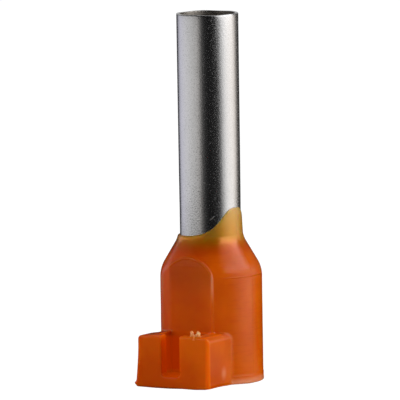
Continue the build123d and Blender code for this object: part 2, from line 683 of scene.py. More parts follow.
    def hollow(self, rho: np.ndarray, z: np.ndarray) -> np.ndarray:
        """Signed distance to what the moulding leaves free.

        It is the cable's bore with its chamfer, then a bell and a tube whose faces lie in the
        middle of the sleeve's wall.

        Args:
            rho: distances from the axis.
            z: heights.

        Returns:
            Signed distances.
        """
        seat = rho - self.seat_radius
        inset = self.tube_radius - self.seat_radius
        bell_radius = self.bore_radius - inset
        cos, sin = math.cos(self.bell_angle), math.sin(self.bell_angle)
        bell = np.maximum(
            rho - bell_radius, (rho - bell_radius) * cos + (z - self.bell_level) * sin
        )
        bore = cut_round(rho - self.bore_radius, z - self.bore_level, 0.05)
        entry = (rho - self.bore_radius - self.entry_chamfer + z) * math.sqrt(0.5)
        return np.minimum.reduce([seat, bell, bore, entry])

    def field(self, x: np.ndarray, y: np.ndarray, z: np.ndarray) -> np.ndarray:
        """Signed distance to the whole moulding, with the slight swell of its moulded faces.

        Heights are first raised by the sag, which is full at the base and gone at its height.

        Args:
            x: places along X.
            y: places along Y.
            z: heights.

        Returns:
            Signed distances, negative inside.
        """
        rho = np.hypot(x, y)
        sag = np.interp(np.degrees(np.arctan2(x, -y)), *zip(*self.sag))
        z = z + sag * (1.0 - smooth_step(0.0, self.sag_height, z))
        bend = self.flat_bend * np.maximum(self.bend_start - x, 0.0) ** 2
        collar = cut_round(self.body(rho, z), self.ahead(x, y) + bend, self.flat_round)
        collar = join_round(collar, self.tongue(x, y, z), 0.12)
        block = cut_round(self.holder(x, y, z), -self.channel(x, y, z), self.lip_round)
        solid = join_round(collar, block, self.root_blend)
        solid = join_round(solid, self.foot(x, y, z), 0.05)
        solid = solid + self.swell * waves(x, y, z, 1.7, 4)
        solid = cut_round(solid, -z, 0.025)
        return cut_round(solid, -self.hollow(rho, z), 0.02)

    def grid(self) -> tuple[Lines, Lines, Lines]:
        """Lines of the skin's grid, close together along every edge of the moulding.

        Returns:
            Lines along X, Y and Z.
        """
        coarse, fine, margin = self.step_across, self.step_fine, self.margin
        half, front = self.holder_width / 2, -self.holder_front
        left, right = (self.slot_offset + side * self.slot_width / 2 for side in (-1, 1))
        widest = self.radius + self.rim_reach + margin
        outer = -half - self.left_shift - self.splay_reach / 2
        across = Lines(-widest, widest, coarse, fine, (outer, left, right, half))
        backs = (front, front + self.lip, -self.flat_distance)
        deep = Lines(front - margin, widest, coarse, fine, backs)
        levels = (0.0, 0.2, self.floor_level, self.holder_height, self.height)
        top = self.height + self.tongue_rise + margin
        tall = Lines(-margin, top, self.step_up, fine, levels)
        return across, deep, tall

    def build(self, finish: "OrangePlastic") -> bpy.types.Object:
        """Moulding in its finish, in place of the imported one."""
        made = skin_of(self.field, self.grid()).piece(
            "collar_moulding", finish.material(), Slot.PLASTIC
        )
        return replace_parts(made, Cad.COLLAR.value)


@dataclass
class TornGate:
    """Remains of the moulding gate on the right lip: a low ragged strip with two prongs."""

    middle: float = 1.29
    front: float = 4.09
    level: float = 2.80
    sink: float = 0.10

    def shred(
        self,
        at: float,
        back: float,
        width: float,
        depth: float,
        rise: float,
        lean: float,
        seed: int,
        sink: float,
    ) -> Surface:
        """One torn shred of plastic.

        At height share t its section is an ellipse of width and depth times
        (1 - 0.65 t^1.5), roughened by waves, and its middle leans sideways with t^2.

        Args:
            at: place of its foot along X.
            back: place of its foot along Y.
            width: half width at its foot.
            depth: half depth at its foot.
            rise: height above the lip.
            lean: sideways shift of its tip.
            seed: picks its roughness.
            sink: depth of its foot below the lip's top.

        Returns:
            The closed shred.
        """
        t = np.linspace(0.0, 1.0, 26)[:, None]
        turn = np.linspace(0.0, FULL_TURN, 40, endpoint=False)[None, :]
        close = np.sqrt(np.clip(1.0 - ((t - 0.86) / 0.14).clip(0.0) ** 2, 0.02, 1.0))
        thin = (1.0 - 0.65 * t**1.5) * close
        middle = at + lean * t**2
        across, along = width * thin * np.cos(turn), depth * thin * np.sin(turn)
        x, y, z = middle + across, back + along, self.level - sink + (rise + sink) * t + 0.0 * turn
        rough = waves(x, y, z, 0.16, seed) + 0.6 * waves(x, y, z, 0.07, seed + 1)
        swell = 1.0 + 0.34 * rough * smooth_step(0.1, 0.5, t)
        torn = [middle + across * swell, back + along * swell, z + 0.05 * rough * t]
        return capped(np.stack(torn, axis=-1))

    def build(self, finish: "TornPlastic") -> bpy.types.Object:
        """Shreds in one piece on the lip.

        Args:
            finish: the torn plastic.

        Returns:
            The piece.
        """
        back = -self.front + 0.14
        strip = self.shred(self.middle, back, 0.38, 0.13, 0.13, 0.02, 11, self.sink)
        left = self.shred(self.middle - 0.21, back + 0.01, 0.14, 0.11, 0.32, -0.02, 21, self.sink)
        right = self.shred(self.middle + 0.19, back, 0.17, 0.12, 0.33, 0.01, 31, self.sink)
        drip = self.shred(self.middle + 0.02, back - 0.20, 0.07, 0.06, 0.07, 0.0, 41, 0.17)
        return (strip + left + right + drip).piece("torn_gate", finish.material(), Slot.PLASTIC)


# Finishes

Input = Union["Value", float, Sequence[float]]


class Value:
    """A shader socket that takes part in sums as a number does."""

    def __init__(self, graph: "Graph", socket: bpy.types.NodeSocket) -> None:
        """Wrap one output socket of a graph."""
        self.graph = graph
        self.socket = socket

    def math(self, operation: str, *others: Input) -> "Value":
        """Math node on this value and the others."""
        values = dict(enumerate((self, *others)))
        return self.graph.node("ShaderNodeMath", values, operation=operation)

    def __add__(self, other: Input) -> "Value":
        """Sum."""
        return self.math("ADD", other)

    __radd__ = __add__

    def __mul__(self, other: Input) -> "Value":
        """Product."""
        return self.math("MULTIPLY", other)

    __rmul__ = __mul__

    def __sub__(self, other: Input) -> "Value":
        """Difference."""
        return self.math("SUBTRACT", other)

    def __rsub__(self, other: float) -> "Value":
        """Number less this value."""
        return self.graph.node("ShaderNodeMath", {0: other, 1: self}, operation="SUBTRACT")

    def __truediv__(self, other: float) -> "Value":
        """Quotient."""
        return self.math("DIVIDE", other)

    def __pow__(self, other: float) -> "Value":
        """Power."""
        return self.math("POWER", other)

    def rise(self, low: float, high: float) -> "Value":
        """Smooth rise from 0 at low to 1 at high."""
        values = {"Value": self, "From Min": low, "From Max": high}
        return self.graph.node("ShaderNodeMapRange", values, interpolation_type="SMOOTHSTEP")

    def near(self, place: float, width: float) -> "Value":
        """1 at place, falling to 0 at width on either side of it."""
        return 1.0 - self.math("SUBTRACT", place).math("ABSOLUTE").rise(0.0, width)


class Graph:
    """A node tree in which one method makes every node."""

    def __init__(self, tree: bpy.types.NodeTree) -> None:
        """Start with an empty tree."""
        self.tree = tree
        tree.nodes.clear()

    def node(
        self,
        kind: str,
        values: Union[Mapping[Union[str, int], Input], None] = None,
        output: Union[str, int] = 0,
        **settings: object,
    ) -> Value:
        """Make a node.

        Args:
            kind: the node's type.
            values: numbers, colours or links for its input sockets, by name or index.
            output: the output socket to return.
            **settings: the node's own settings, set before its sockets. stops sets a ramp.

        Returns:
            The chosen output.
        """
        made = self.tree.nodes.new(kind)
        for name, setting in settings.items():
            if name == "stops":
                self.set_ramp(made.color_ramp, setting)
            else:
                setattr(made, name, setting)
        for key, value in (values or {}).items():
            if isinstance(value, Value):
                self.tree.links.new(value.socket, made.inputs[key])
            else:
                made.inputs[key].default_value = value
        outputs = made.outputs
        return Value(self, outputs[output] if len(outputs) else None)

    @staticmethod
    def set_ramp(ramp: bpy.types.ColorRamp, stops: Sequence[tuple[float, Colour]]) -> None:
        """Give a ramp its stops.

        Args:
            ramp: the ramp, whose own stops go.
            stops: rising places from 0 to 1, each with its colour.
        """
        while len(ramp.elements) > 1:
            ramp.elements.remove(ramp.elements[-1])
        for number, (place, colour) in enumerate(stops):
            element = ramp.elements[0] if number == 0 else ramp.elements.new(place)
            element.position = place
            element.color = colour

    def mix(self, share: Input, first: Input, second: Input) -> Value:
        """Colour between two by share."""
        values = {0: share, 6: first, 7: second}
        return self.node("ShaderNodeMix", values, output=2, data_type="RGBA")

    def tint(self, colour: Input, level: Input) -> Value:
        """Colour times a grey level."""
        values = {0: colour, "Scale": level}
        return self.node("ShaderNodeVectorMath", values, operation="SCALE")

    def noise(self, vector: Value, scale: float, detail: float = 2.0) -> Value:
        """Noise from 0 to 1 over a vector."""
        values = {"Vector": vector, "Scale": scale, "Detail": detail, "Roughness": 0.55}
        return self.node("ShaderNodeTexNoise", values)

    def place(self) -> "Place":
        """Where a surface point lies on the object.

        Returns:
            The place, in millimetres.
        """
        raw = self.node("ShaderNodeTexCoord", output="Object")
        scaled = self.node("ShaderNodeVectorMath", {0: raw, "Scale": 1.0 / MM}, operation="SCALE")
        return Place(self, scaled)

    def bump(self, height: Value, depth: float, below: Union[Value, None] = None) -> Value:
        """Normal of a surface with a bump on it.

        Args:
            height: the bump's height, from 0 to 1.
            depth: what a height of 1 stands for, in millimetres.
            below: normal of an earlier bump that this one lies on.

        Returns:
            The normal.
        """
        values: dict = {"Height": height, "Distance": depth * MM, "Strength": 1.0}
        if below is not None:
            values["Normal"] = below
        return self.node("ShaderNodeBump", values)

    def seen(self) -> Value:
        """1 on rays from the camera, off gloss and through clear surfaces, and 0 on others.

        Returns:
            The mask.
        """
        kinds = ("Is Camera Ray", "Is Glossy Ray", "Is Transmission Ray")
        camera, gloss, clear = (self.node("ShaderNodeLightPath", output=kind) for kind in kinds)
        return camera.math("MAXIMUM", gloss).math("MAXIMUM", clear)

    def surface(self, shader: Value) -> None:
        """Connect a shader to the output of a material's or a world's tree.

        Args:
            shader: what the tree shows.
        """
        world = isinstance(self.tree.id_data, bpy.types.World)
        kind = "ShaderNodeOutputWorld" if world else "ShaderNodeOutputMaterial"
        self.node(kind, {"Surface": shader})


class Place:
    """Object coordinates in millimetres, with what is worked out from them."""

    def __init__(self, graph: Graph, vector: Value) -> None:
        """Split the vector into its three parts.

        Args:
            graph: the finish's node tree.
            vector: the coordinates in millimetres.
        """
        self.graph = graph
        self.vector = vector
        nodes = graph.node("ShaderNodeSeparateXYZ", {0: vector}).socket.node
        self.x, self.y, self.z = (Value(graph, nodes.outputs[k]) for k in range(3))

    def radius(self) -> Value:
        """Distance from the axis."""
        return (self.x * self.x + self.y * self.y) ** 0.5

    def bearing(self) -> Value:
        """Angle round the axis in radians, 0 towards -Y and rising towards +X."""
        return self.x.math("ARCTAN2", self.y * -1.0)

    def stretched(self, x: float, y: float, z: float) -> Value:
        """The place with its three parts scaled."""
        values = {0: self.vector, 1: (x, y, z)}
        return self.graph.node("ShaderNodeVectorMath", values, operation="MULTIPLY")


def length_of(first: Value, second: Value) -> Value:
    """Length of two legs at a right angle: (a^2 + b^2)^0.5."""
    return (first * first + second * second) ** 0.5


def new_graph(name: str) -> tuple[bpy.types.Material, Graph]:
    """New material with an empty node tree.

    Args:
        name: the material's name.

    Returns:
        The material and its graph.
    """
    material = bpy.data.materials.new(name)
    material.use_nodes = True
    return material, Graph(material.node_tree)


@dataclass(frozen=True)
class TinnedMetal:
    """Bright tin plating on a drawn tube: fine lines along it, a speckled grain and scratches, with
    painted shade inside its bore.
    """

    colour: Colour = (0.84, 0.83, 0.83, 1.0)
    dull: Colour = (0.75, 0.745, 0.74, 1.0)
    # Colour of the painted shade inside the bore.
    bore_shade: Colour = (0.42, 0.38, 0.33, 1.0)
    spot: Colour = (0.42, 0.45, 0.56, 1.0)
    roughness: float = 0.15
    grain_depth: float = 0.0045
    line_depth: float = 0.0014
    scratch_depth: float = 0.03
    bore_radius: float = 1.49
    tube_radius: float = 1.65

    # Marks, by bearing and height.
    scratch: tuple[float, float] = (math.radians(34.3), 8.98)
    smudge: tuple[float, float] = (math.radians(26.5), 8.61)

    def beside(self, place: Place, mark: tuple[float, float]) -> tuple[Value, Value]:
        """Distances round the tube and up it from a mark, given by its bearing and height."""
        bearing, height = mark
        return (place.bearing() - bearing) * self.tube_radius, place.z - height

    def material(self) -> bpy.types.Material:
        """Node tree of the finish.

        Returns:
            The material.
        """
        material, graph = new_graph("tinned_metal")
        place = graph.place()
        lines = graph.noise(place.stretched(1.0, 1.0, 0.03), 22.0, 3.0)
        grain = graph.noise(place.vector, 12.0, 3.0)
        specks = graph.noise(place.vector, 13.0, 2.0).rise(0.52, 0.68)
        clouds = graph.noise(place.stretched(1.0, 1.0, 0.5), 1.3, 3.0)
        worn = clouds.rise(0.45, 0.75) * 0.6 + grain.rise(0.45, 0.7) * 0.9
        colour = graph.mix(worn, self.colour, self.dull)
        round_spot, up_spot = self.beside(place, self.smudge)
        smudge = (round_spot * round_spot + up_spot * up_spot * 0.4) ** 0.5
        colour = graph.mix(smudge.near(0.0, 0.07) * 0.8, colour, self.spot)
        # Painted shade: the inside of the bore takes a darker greyish colour.
        inside = 1.0 - place.radius().rise(self.bore_radius, self.bore_radius + 0.03)
        colour = graph.mix(inside, colour, self.bore_shade)
        across, up = self.beside(place, self.scratch)
        scratch = (across - up).near(0.0, 0.05) * (across + up).near(0.0, 0.32)
        rough = self.roughness + clouds * 0.06 + lines * 0.05 + specks * 0.13
        rough = rough + scratch * 0.5 + inside * 0.3
        normal = graph.bump(grain, self.grain_depth)
        normal = graph.bump(lines, self.line_depth, normal)
        normal = graph.bump(scratch, self.scratch_depth, normal)
        shader = graph.node(
            "ShaderNodeBsdfPrincipled",
            {"Base Color": colour, "Metallic": 1.0, "Roughness": rough, "Normal": normal},
        )
        graph.surface(shader)
        return material


@dataclass(frozen=True)
class OrangePlastic:
    """Slightly translucent orange moulding, which turns yellow where it is thin over the tube, with
    painted light, shade and highlights in its colour.
    """

    collar: InsulatingCollar
    # The deep and the light orange: painted light and shade, a painted highlight and a random tone
    # choose between them.
    deep: Colour = (0.56, 0.070, 0.0004, 1.0)
    light: Colour = (0.70, 0.122, 0.0008, 1.0)
    shaded: Colour = (0.32, 0.030, 0.0, 1.0)
    # Pale pink of the painted highlights and of the patch.
    highlight_pink: Colour = (0.92, 0.34, 0.16, 1.0)
    # Painted glow, by emission, in the channel and on its floor.
    glow: Colour = (0.235, 0.018, 0.0, 1.0)
    floor_glow: Colour = (0.16, 0.023, 0.0, 1.0)
    absorption: tuple[float, float, float] = (0.7, 4.2, 24.0)
    backing: tuple[float, float, float] = (0.81, 0.50, 0.42)
    roughness: float = 0.17

    # Marks: the ring and the parting line that the mould leaves, and the pale patch on the holder's
    # right side by its place (y, z) and its reach. Then the middle height of the painted highlight along
    # the flat's right edge, the height where the painted shade on the flat starts, and where the cone
    # starts.
    seam_level: float = 5.80
    seam_start: float = 0.68
    seam_bearing: float = math.radians(83.5)
    patch_place: tuple[float, float] = (-2.56, 0.70)
    patch_reach: tuple[float, float] = (0.38, 0.52)
    edge_level: float = 5.75
    flat_top: float = 4.6
    cone_start: float = 5.9

    # Bump depths in millimetres.
    swell_depth: float = 0.003
    ring_depth: float = 0.011
    seam_depth: float = 0.024
    edge_depth: float = 0.045

    def over_tube(self, graph: Graph, cover: Value) -> Value:
        """Colour of bright metal seen through a cover, whose light passes it twice.

        Each channel is backing exp(-absorption cover).

        Args:
            graph: the finish's node tree.
            cover: thickness of plastic over the tube, in millimetres.

        Returns:
            The colour.
        """
        passed = [
            (cover * -rate).math("EXPONENT") * start
            for rate, start in zip(self.absorption, self.backing)
        ]
        return graph.node("ShaderNodeCombineColor", dict(enumerate(passed)))

    def arch(self, place: Place) -> Value:
        """1 on the edge of the collar's flat and 0 beyond a few hundredths of a millimetre.

        The body's radius at height z is the shoulder circle's between its two tangent levels,
        the collar's below and the cone's above. The edge is where that radius and the flat's
        plane are both reached.

        Args:
            place: the surface point.

        Returns:
            Nearness to the edge.
        """
        collar = self.collar
        lean, blend = collar.shoulder_angle, collar.shoulder_blend
        centre, start = collar.shoulder_centre()
        above = (place.z - start).math("MAXIMUM", 0.0)
        arc = above.math("MINIMUM", blend * math.sin(lean))
        rest = (above - arc) * math.tan(lean)
        radius = (blend**2 - arc * arc) ** 0.5 + centre - rest
        away = length_of(radius - place.radius(), collar.ahead(place.x, place.y))
        return 1.0 - away.rise(0.02, 0.075)

    def in_channel(self, place: Place) -> Value:
        """1 on the walls, back and floor that show through the slot, fading at its mouth and top.

        Args:
            place: the surface point.

        Returns:
            The mask.
        """
        collar = self.collar
        left, right = -collar.pocket_width / 2, collar.slot_offset + collar.slot_width / 2
        across = (place.x - (left + right) / 2).math("ABSOLUTE")
        half = (right - left) / 2
        between = 1.0 - across.rise(half + 0.01, half + 0.05)
        behind = place.y.rise(0.02 - collar.holder_front, 0.07 - collar.holder_front)
        before = 1.0 - place.y.rise(-2.2, -2.1)
        below = 1.0 - place.z.rise(collar.holder_height - 0.4, collar.holder_height - 0.01)
        return between * behind * before * below * place.z.rise(0.40, 0.50)

    def corner(self, place: Place) -> Value:
        """1 on the upright edge between the holder's front and its right side."""
        side, front = self.collar.holder_width / 2 - 0.06, self.collar.holder_front - 0.06
        return 1.0 - length_of(place.x - side, place.y + front).rise(0.03, 0.22)

    def brow(self, place: Place) -> Value:
        """1 on the holder's top face.

        Args:
            place: the surface point.

        Returns:
            The mask.
        """
        top = self.collar.holder_height
        level = place.z.rise(top - 0.06, top - 0.01) * (1.0 - place.z.rise(top + 0.02, top + 0.06))
        return level * (1.0 - place.y.rise(-2.4, -2.3))

    def painted_holder_light(self, place: Place) -> Value:
        """Painted light on the marker holder: how much it pales towards its top, its right corner and
        its top face, and less on its right side face.

        Args:
            place: the surface point.

        Returns:
            What is added to the share of the light colour.
        """
        side = self.collar.holder_width / 2
        block = 1.0 - place.y.rise(-2.6, -2.3)
        upward = place.z.rise(0.6, self.collar.holder_height)
        upward = upward * (place.x.rise(-0.5, 1.0) * 0.4 + 0.45)
        aside = place.x.rise(1.0, 2.2) * 0.3 - place.x.rise(side - 0.06, side - 0.02) * 0.6
        return block * (upward + self.corner(place) + aside)

    def highlights_and_patch(self, place: Place) -> Value:
        """Painted highlights on the collar's lowest rim at its right and along the flat's right edge,
        and a pale patch on the holder's right side.

        Args:
            place: the surface point.

        Returns:
            Share of the pale pink colour.
        """
        right = place.bearing().rise(0.7, 0.9)
        # Painted highlight along the lowest rim at the right.
        rim = (1.0 - place.z.rise(0.14, 0.36)) * right * place.y.rise(-1.8, -1.7) * 0.45
        (y, z), (deep, tall) = self.patch_place, self.patch_reach
        patch = 1.0 - length_of((place.y - y) / deep, (place.z - z) / tall).rise(0.0, 1.0)
        patch = patch * place.x.rise(2.1, 2.2) * 0.5
        # Painted highlight along the flat's right edge.
        edge = place.z.near(self.edge_level, 1.5) * place.x.rise(1.35, 1.45) * self.arch(place)
        return rim.math("MAXIMUM", patch).math("MAXIMUM", edge)

    def material(self) -> bpy.types.Material:
        """Node tree of the finish.

        Returns:
            The material.
        """
        material, graph = new_graph("orange_plastic")
        place = graph.place()
        clouds = graph.noise(place.vector, 0.55, 3.0)
        fine = graph.noise(place.vector, 9.0, 3.0)
        rings = graph.noise(place.stretched(0.12, 0.12, 1.0), 9.0, 3.0)
        cover = place.radius() - self.collar.tube_radius
        high = place.z.rise(self.collar.height - 1.5, self.collar.height - 0.8)
        thin = (1.0 - cover.rise(0.12, 0.75)) * high
        arch = self.arch(place)
        cone = place.z.rise(self.cone_start, self.cone_start + 0.6)
        right = place.bearing().rise(0.6, 1.0)
        turned_side = cone.math("MAXIMUM", right) * 0.85 + 0.15
        # Painted light: the moulding is lighter towards its right side, round the parting line's
        # bearing, and a random tone from the clouds is added.
        side_light_and_tone = (place.bearing() - self.seam_bearing).math("COSINE").rise(0.25, 1.0) * 0.8
        side_light_and_tone = side_light_and_tone + clouds.rise(0.35, 0.68) * 0.35 - 0.1
        streaks = rings.rise(0.5, 0.66) * turned_side * cover.rise(0.2, 0.5)
        # A painted highlight along the flat's edge and painted light on the holder raise the light
        # share, and darker streaks lower it.
        share = side_light_and_tone + arch * 0.5 + self.painted_holder_light(place) - streaks * 0.2
        colour = graph.mix(share, self.deep, self.light)
        colour = graph.mix(self.highlights_and_patch(place), colour, self.highlight_pink)
        colour = graph.mix(thin, colour, self.over_tube(graph, cover))
        # Painted shade on the channel's walls, and a painted glow by emission in the channel and on its
        # floor.
        channel = self.in_channel(place)
        walls = channel * place.z.rise(0.64, 0.78)
        colour = graph.mix(walls, colour, self.shaded)
        glow = graph.mix(walls, self.floor_glow, self.glow)
        # Painted shade: the flat darkens towards its top.
        flat = 1.0 - self.collar.ahead(place.x, place.y).math("ABSOLUTE").rise(0.02, 0.05)
        colour = graph.tint(colour, 1.0 - flat * place.z.rise(self.flat_top, 6.0) * 0.20)
        # Painted shade along the foot, and painted light on the holder's top face and its right front
        # corner.
        lit = place.z.rise(-0.07, 0.02) * 0.4 + self.brow(place) * 0.35 + self.corner(place) * 0.20
        colour = graph.tint(colour, lit + 0.6)
        skin = (1.0 - cover.rise(0.10, 0.24)) * high
        rough = self.roughness + fine * 0.05 - cone * 0.04 + skin * 0.10
        seam = place.bearing().rise(self.seam_start, self.seam_start + 0.16)
        seam = seam * place.z.near(self.seam_level, 0.05)
        parting = place.bearing().near(self.seam_bearing, 0.012) * place.z.rise(0.2, 0.6)
        normal = graph.bump(graph.noise(place.vector, 3.2, 2.0), self.swell_depth)
        normal = graph.bump(rings * turned_side, self.ring_depth, normal)
        normal = graph.bump(seam + parting * 0.4, self.seam_depth, normal)
        normal = graph.bump(arch, self.edge_depth, normal)
        shader = graph.node(
            "ShaderNodeBsdfPrincipled",
            {
                "Base Color": colour,
                "Metallic": thin * (0.58 - right * 0.33),
                "Roughness": rough,
                "IOR": 1.49,
                "Specular IOR Level": 0.42,
                "Coat Weight": thin * 0.5,
                "Coat Roughness": 0.15,
                "Emission Color": graph.tint(glow, channel),
                "Emission Strength": 1.0,
                "Subsurface Weight": 0.6,
                "Subsurface Radius": (1.0, 0.28, 0.06),
                "Subsurface Scale": 1.0 * MM,
                "Normal": normal,
            },
        )
        graph.surface(shader)
        return material


@dataclass(frozen=True)
class TornPlastic:
    """The same plastic where it has torn: stretched white and rough."""

    whole: Colour = (0.86, 0.22, 0.03, 1.0)
    white: Colour = (0.98, 0.63, 0.31, 1.0)
    roughness: float = 0.55
    fibre_depth: float = 0.02
    root_level: float = 2.80
    white_level: float = 2.98

    def material(self) -> bpy.types.Material:
        """Node tree of the finish.

        Returns:
            The material.
        """
        material, graph = new_graph("torn_plastic")
        place = graph.place()
        fibres = graph.noise(place.stretched(1.0, 1.0, 0.4), 13.0, 3.0)
        raised = place.z.rise(self.root_level, self.white_level)
        colour = graph.mix(fibres.rise(0.36, 0.62) * raised, self.whole, self.white)
        normal = graph.bump(fibres, self.fibre_depth)
        shader = graph.node(
            "ShaderNodeBsdfPrincipled",
            {
                "Base Color": colour,
                "Roughness": self.roughness,
                "Subsurface Weight": 0.4,
                "Subsurface Radius": (1.0, 0.5, 0.3),
                "Subsurface Scale": 0.2 * MM,
                "Normal": normal,
            },
        )
        graph.surface(shader)
        return material


# Studio


@dataclass(frozen=True)
class Band:
    """Ring of the tent whose brightness changes with the angle from the camera's bearing.

    Its stops are (degrees, brightness, warmth). Warmth adds to red what it takes from blue, and
    below 0 it adds to blue alone, twice its size.
    """

    low: float
    blend: float
    stops: tuple[tuple[float, float, float], ...]

    def colours(self) -> list[tuple[float, Colour]]:
        """Stops of a colour ramp over the whole turn.

        Returns:
            Places from 0 to 1, each with its colour.
        """
        made = []
        for angle, level, warm in self.stops:
            red, blue = 1.0 + max(warm, 0.0), 1.0 - max(warm, 0.0) - 2.0 * min(warm, 0.0)
            made.append(((angle + 180.0) / 360.0, (level * red, level, level * blue, 1.0)))
        return made


# What the moulding's upright faces mirror: nearly nothing at the left, one card at the right.
LOW_BAND = Band(
    low=0.0,
    blend=1.0,
    stops=(
        (-180.0, 0.0, 0.0),
        (-158.0, 0.0, 0.0),
        (-149.0, 0.12, 0.0),
        (-139.0, 0.36, 0.0),
        (-130.0, 0.26, 0.0),
        (-121.0, 0.12, 0.0),
        (-110.0, 0.24, 0.0),
        (-88.0, 0.24, 0.0),
        (-78.0, 0.04, 0.0),
        (-70.0, 0.0, 0.0),
        (44.0, 0.0, 0.0),
        (54.0, 0.20, 0.0),
        (60.0, 0.50, 0.0),
        (67.0, 0.90, 0.0),
        (81.0, 1.20, 0.0),
        (99.0, 1.20, 0.0),
        (103.0, 0.90, 0.0),
        (107.0, 0.30, 0.0),
        (111.0, 0.06, 0.0),
        (116.0, 0.01, 0.0),
        (124.0, 0.0, 0.0),
        (180.0, 0.0, 0.0),
    ),
)
# What the tube mirrors: a grey card at the left, the dark camera side and the card at the right.
TUBE_BAND = Band(
    low=2.5,
    blend=0.5,
    stops=(
        (-180.0, 0.02, -0.05),
        (-152.0, 0.02, -0.05),
        (-143.0, 0.06, -0.07),
        (-136.0, 0.46, -0.08),
        (-120.0, 0.62, -0.07),
        (-90.0, 0.66, -0.02),
        (-68.0, 0.60, 0.0),
        (-50.0, 0.52, 0.01),
        (-39.0, 0.47, 0.03),
        (-34.0, 0.33, 0.03),
        (-29.0, 0.13, 0.04),
        (-21.0, 0.045, 0.0),
        (-13.0, 0.022, 0.0),
        (-2.0, 0.010, -0.02),
        (9.0, 0.012, 0.0),
        (24.0, 0.016, 0.0),
        (33.0, 0.020, 0.0),
        (41.0, 0.075, 0.0),
        (48.0, 0.36, 0.0),
        (55.0, 0.60, 0.0),
        (64.0, 0.84, 0.01),
        (75.0, 0.94, 0.03),
        (96.0, 0.98, 0.05),
        (107.0, 0.84, 0.06),
        (116.0, 0.57, 0.08),
        (123.0, 0.25, 0.07),
        (131.0, 0.08, 0.07),
        (142.0, 0.04, 0.05),
        (180.0, 0.02, 0.0),
    ),
)
# What the cone and the rounded upper edges mirror: the card at the right leans to the camera.
HIGH_BAND = Band(
    low=16.0,
    blend=8.0,
    stops=(
        (-180.0, 0.50, 0.0),
        (-165.0, 0.40, 0.0),
        (-150.0, 0.16, 0.0),
        (-70.0, 0.14, 0.0),
        (-45.0, 0.04, 0.0),
        (-20.0, 0.0, 0.0),
        (28.0, 0.0, 0.0),
        (44.0, 1.7, 0.0),
        (101.0, 2.35, 0.0),
        (107.0, 0.25, 0.0),
        (116.0, 0.04, 0.0),
        (160.0, 0.05, 0.0),
        (180.0, 0.50, 0.0),
    ),
)
# What the cone's front mirrors: the leaning card's upper edge, dimmer and with a soft side.
TOP_BAND = Band(
    low=38.0,
    blend=12.0,
    stops=(
        (-180.0, 0.02, 0.0),
        (-20.0, 0.0, 0.0),
        (24.0, 0.0, 0.0),
        (58.0, 0.80, 0.0),
        (101.0, 1.20, 0.0),
        (110.0, 0.10, 0.0),
        (180.0, 0.02, 0.0),
    ),
)


@dataclass(frozen=True)
class Lamp:
    """Square soft lamp, placed by its degrees right of the camera and above the horizon.

    Its size is the side in millimetres, and its power is in watts.
    """

    name: str
    bearing: float
    rise: float
    size: float
    power: float
    distance: float = 300.0
    aim_height: float = 6.0

    def build(self, facing: float) -> None:
        """Put the lamp in the scene, aimed at the object's axis.

        Args:
            facing: the camera's bearing.
        """
        data = bpy.data.lights.new(self.name, "AREA")
        data.shape = "SQUARE"
        data.size = self.size * MM
        data.energy = self.power
        lamp = placed(self.name, data)
        away = away_at(facing + math.radians(self.bearing), math.radians(self.rise))
        lamp.location = (Vector((0.0, 0.0, self.aim_height)) + away * self.distance) * MM
        lamp.rotation_mode = "QUATERNION"
        lamp.rotation_quaternion = away.to_track_quat("Z", "Y")
        lamp.visible_glossy = False


